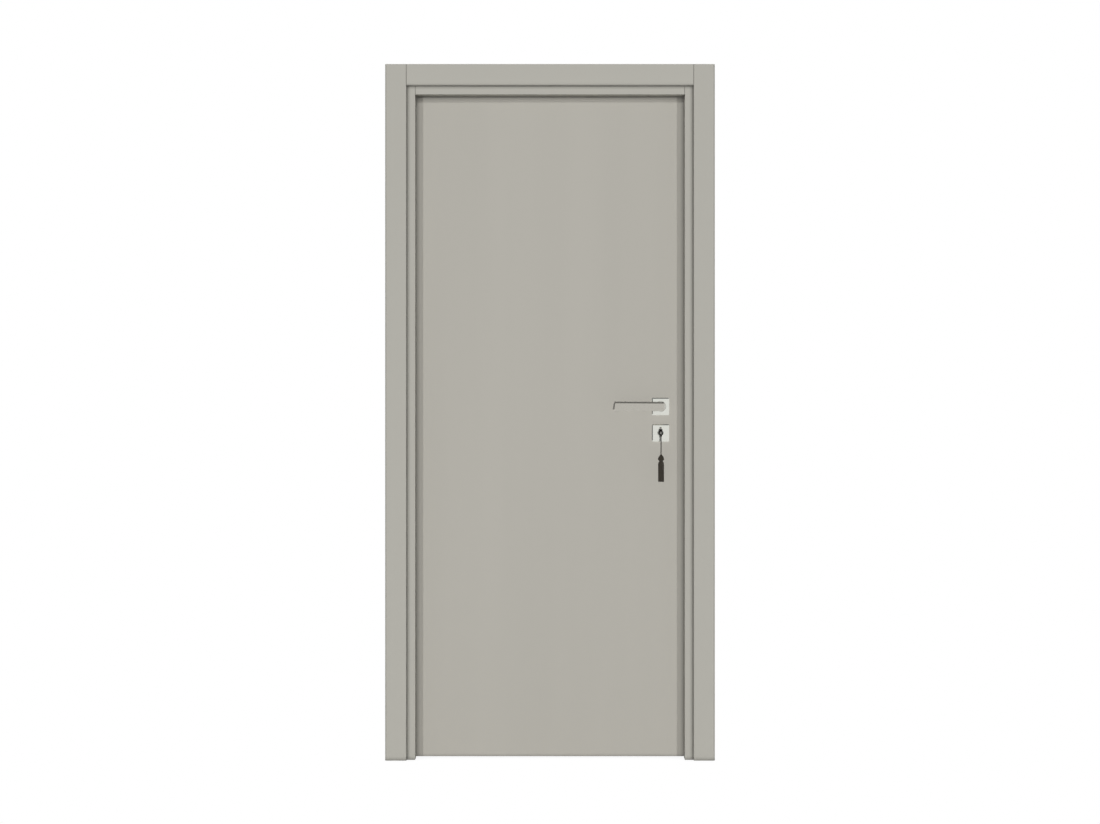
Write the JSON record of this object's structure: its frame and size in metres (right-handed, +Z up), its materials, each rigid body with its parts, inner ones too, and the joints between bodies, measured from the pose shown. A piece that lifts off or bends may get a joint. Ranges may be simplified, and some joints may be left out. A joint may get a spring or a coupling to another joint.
{
  "type": "interior door set",
  "caption": "Flush interior door set with a rebated lining, architraves on both sides, a hinged hollow leaf, lever handles on square roses, and a key with a tassel.",
  "frame": {"origin": "on the hinge jamb's wall face, at floor level, in the middle of the wall's depth", "axes": "+X from the hinge jamb to the strike jamb, +Y towards the side that the leaf opens to, +Z up"},
  "size_m": [1, 0.169, 2.112],
  "materials": {
    "frame_lacquer": "satin greige lacquer",
    "leaf_lacquer": "satin greige lacquer",
    "seal_rubber": "matt soft seal",
    "hinge_steel": "satin nickel plate",
    "lock_steel": "brushed zinc plate",
    "plate_nickel": "pale satin nickel",
    "lever_nickel": "satin nickel",
    "key_steel": "worn nickel plate",
    "tassel_thread": "dark twisted thread"
  },
  "bodies": {
    "frame": {"hinge_jamb": "frame_lacquer", "strike_jamb": "frame_lacquer", "head_jamb": "frame_lacquer", "front_hinge_architrave": "frame_lacquer", "front_strike_architrave": "frame_lacquer", "front_head_architrave": "frame_lacquer", "back_hinge_architrave": "frame_lacquer", "back_strike_architrave": "frame_lacquer", "back_head_architrave": "frame_lacquer", "hinge_side_seal": "seal_rubber", "strike_side_seal": "seal_rubber", "head_seal": "seal_rubber", "strike_plate": "lock_steel", "upper_frame_hinge": "hinge_steel", "middle_frame_hinge": "hinge_steel", "lower_frame_hinge": "hinge_steel"},
    "leaf": {"leaf_front_skin": "leaf_lacquer", "leaf_back_skin": "leaf_lacquer", "leaf_hinge_stile": "leaf_lacquer", "leaf_lock_stile": "leaf_lacquer", "leaf_top_rail": "leaf_lacquer", "leaf_bottom_rail": "leaf_lacquer", "upper_leaf_hinge": "hinge_steel", "middle_leaf_hinge": "hinge_steel", "lower_leaf_hinge": "hinge_steel", "lock_case": "lock_steel", "latch_bolt": "lock_steel", "dead_bolt": "lock_steel", "front_lever_rose": "plate_nickel", "back_lever_rose": "plate_nickel", "front_key_plate": "plate_nickel", "back_key_plate": "plate_nickel"},
    "lever": {"front_lever": "lever_nickel", "back_lever": "lever_nickel", "spindle": "lock_steel"},
    "key": {"key": "key_steel", "cord_hitch": "tassel_thread"},
    "tassel": {"tassel_loop": "tassel_thread", "tassel_cord": "tassel_thread", "tassel_head": "tassel_thread", "tassel_skirt": "tassel_thread"}
  },
  "joints": [
    {"name": "leaf_swing", "type": "hinge", "parent": "frame", "child": "leaf", "pos_m": [0.0275, 0.058, 1], "axis": [0, 0, 1], "range_deg": [0, 110]},
    {"name": "lever_turn", "type": "hinge", "parent": "leaf", "child": "lever", "pos_m": [0.788, 0.0265, 1.074], "axis": [0, -1, 0], "range_deg": [0, 45], "stiffness_Nm_per_rad": 1.2, "springref_deg": -34.38},
    {"name": "key_turn", "type": "hinge", "parent": "leaf", "child": "key", "pos_m": [0.788, 0, 1.001], "axis": [0, -1, 0], "range_deg": [-90, 360]},
    {"name": "tassel_swing", "type": "hinge", "parent": "leaf", "child": "tassel", "pos_m": [0.788, -0.03815, 1.001], "axis": [0, -1, 0], "range_deg": [-20, 20]}
  ]
}
